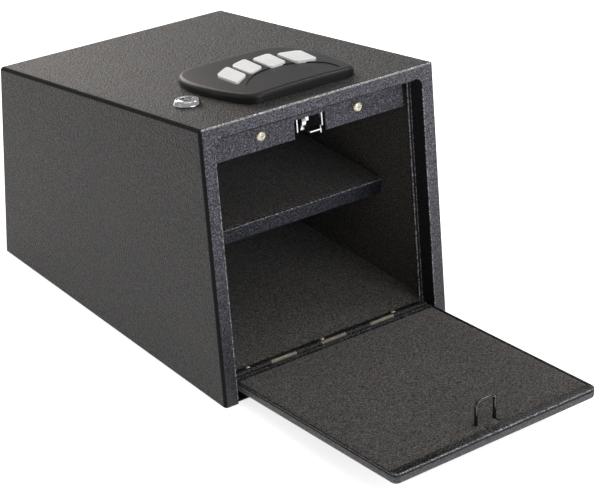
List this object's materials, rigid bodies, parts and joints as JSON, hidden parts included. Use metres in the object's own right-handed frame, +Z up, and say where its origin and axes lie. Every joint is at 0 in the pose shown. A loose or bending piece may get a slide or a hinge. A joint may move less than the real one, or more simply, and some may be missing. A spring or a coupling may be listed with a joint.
{
  "type": "gun safe",
  "caption": "Small wedge-shaped steel safe with a leaning front, a drop-down door on a long hinge, a lift-out shelf, foam lining, a push-button pod and a backup key lock on its sloping top",
  "frame": {"origin": "Centre of the underside of the base panel", "axes": "+X to the right as seen by someone facing the door, -Y out through the door, +Z up"},
  "size_m": [0.254, 0.5481, 0.2483],
  "materials": {
    "body_coat": "textured",
    "front_coat": "textured",
    "black_coat": "textured",
    "bare_steel": "satin",
    "zinc": "satin",
    "lock_chrome": "polished",
    "copper_wire": "satin",
    "foam": "matte",
    "pod_plastic": "satin",
    "button_plastic": "satin",
    "board": "satin",
    "cell_wrap": "gloss",
    "rubber": "matte"
  },
  "bodies": {
    "body": {"back_foam": "foam", "back_panel": "body_coat", "base_panel": "body_coat", "battery_cell_1": "cell_wrap", "battery_cell_2": "cell_wrap", "battery_cell_3": "cell_wrap", "battery_cell_4": "cell_wrap", "body_shell": "body_coat", "cable_grommet": "rubber", "control_board": "board", "floor_foam": "foam", "header_nut_left": "zinc", "header_nut_right": "zinc", "header_plate": "front_coat", "header_screw_left": "zinc", "header_screw_right": "zinc", "hinge_leaf_fixed": "black_coat", "hinge_pin": "bare_steel", "hinge_rail": "black_coat", "hinge_rivet_1": "zinc", "hinge_rivet_2": "zinc", "hinge_rivet_3": "zinc", "hook_spring": "bare_steel", "keypad_board": "board", "keypad_cable": "rubber", "keypad_housing": "pod_plastic", "latch_bracket": "zinc", "latch_pivot_pin": "bare_steel", "lock_body": "lock_chrome", "lock_nut": "zinc", "power_housing": "pod_plastic", "shelf_ledge_left": "black_coat", "shelf_ledge_right": "black_coat", "solenoid_coil": "copper_wire", "solenoid_frame": "zinc", "wall_foam_lower_left": "foam", "wall_foam_lower_right": "foam", "wall_foam_upper_left": "foam", "wall_foam_upper_right": "foam"},
    "door": {"hinge_leaf_door": "bare_steel", "door_panel": "black_coat", "door_foam": "foam", "door_staple": "black_coat"},
    "shelf": {"shelf_tray": "black_coat", "shelf_foam": "foam"},
    "lock_core": {"lock_plug": "lock_chrome", "lock_cam": "zinc", "lock_cam_screw": "zinc"},
    "plunger": {"solenoid_plunger": "bare_steel", "plunger_pin": "bare_steel"},
    "hook": {"latch_hook": "zinc"},
    "battery_door": {"battery_cover": "pod_plastic"},
    "button_1": {"keypad_button_1": "button_plastic"},
    "button_2": {"keypad_button_2": "button_plastic"},
    "button_3": {"keypad_button_3": "button_plastic"},
    "button_4": {"keypad_button_4": "button_plastic"}
  },
  "joints": [
    {"name": "door_hinge", "type": "hinge", "parent": "body", "child": "door", "pos_m": [0, -0.1613, 0.019], "axis": [-1, 0, 0], "range_deg": [0, 95.73]},
    {"name": "shelf_lift", "type": "slide", "parent": "body", "child": "shelf", "axis": [0, 0, 1], "range_m": [0, 0.03]},
    {"name": "lock_turn", "type": "hinge", "parent": "body", "child": "lock_core", "pos_m": [-0.089, -0.063, 0.2313], "axis": [0, -0.1696, -0.9855], "range_deg": [0, 90]},
    {"name": "plunger_pull", "type": "slide", "parent": "body", "child": "plunger", "axis": [0, 0.9847, -0.1742], "range_m": [0, 0.00422], "stiffness_N_per_m": 150, "springref_m": -0.004},
    {"name": "hook_swing", "type": "hinge", "parent": "body", "child": "hook", "pos_m": [-0.0012, -0.09179, 0.21496], "axis": [-1, 0, 0], "range_deg": [0, 21.1]},
    {"name": "battery_cover_pull", "type": "slide", "parent": "body", "child": "battery_door", "axis": [0, -0.1696, -0.9855], "range_m": [0, 0.01]},
    {"name": "button_1_press", "type": "slide", "parent": "body", "child": "button_1", "axis": [0, -0.1696, -0.9855], "range_m": [0, 0.0012], "stiffness_N_per_m": 400, "springref_m": -0.002},
    {"name": "button_2_press", "type": "slide", "parent": "body", "child": "button_2", "axis": [0, -0.1696, -0.9855], "range_m": [0, 0.0012], "stiffness_N_per_m": 400, "springref_m": -0.002},
    {"name": "button_3_press", "type": "slide", "parent": "body", "child": "button_3", "axis": [0, -0.1696, -0.9855], "range_m": [0, 0.0012], "stiffness_N_per_m": 400, "springref_m": -0.002},
    {"name": "button_4_press", "type": "slide", "parent": "body", "child": "button_4", "axis": [0, -0.1696, -0.9855], "range_m": [0, 0.0012], "stiffness_N_per_m": 400, "springref_m": -0.002}
  ],
  "couplings": [
    {"joint": "hook_swing", "follows": "plunger_pull", "rad_per_m": 86.85}
  ]
}
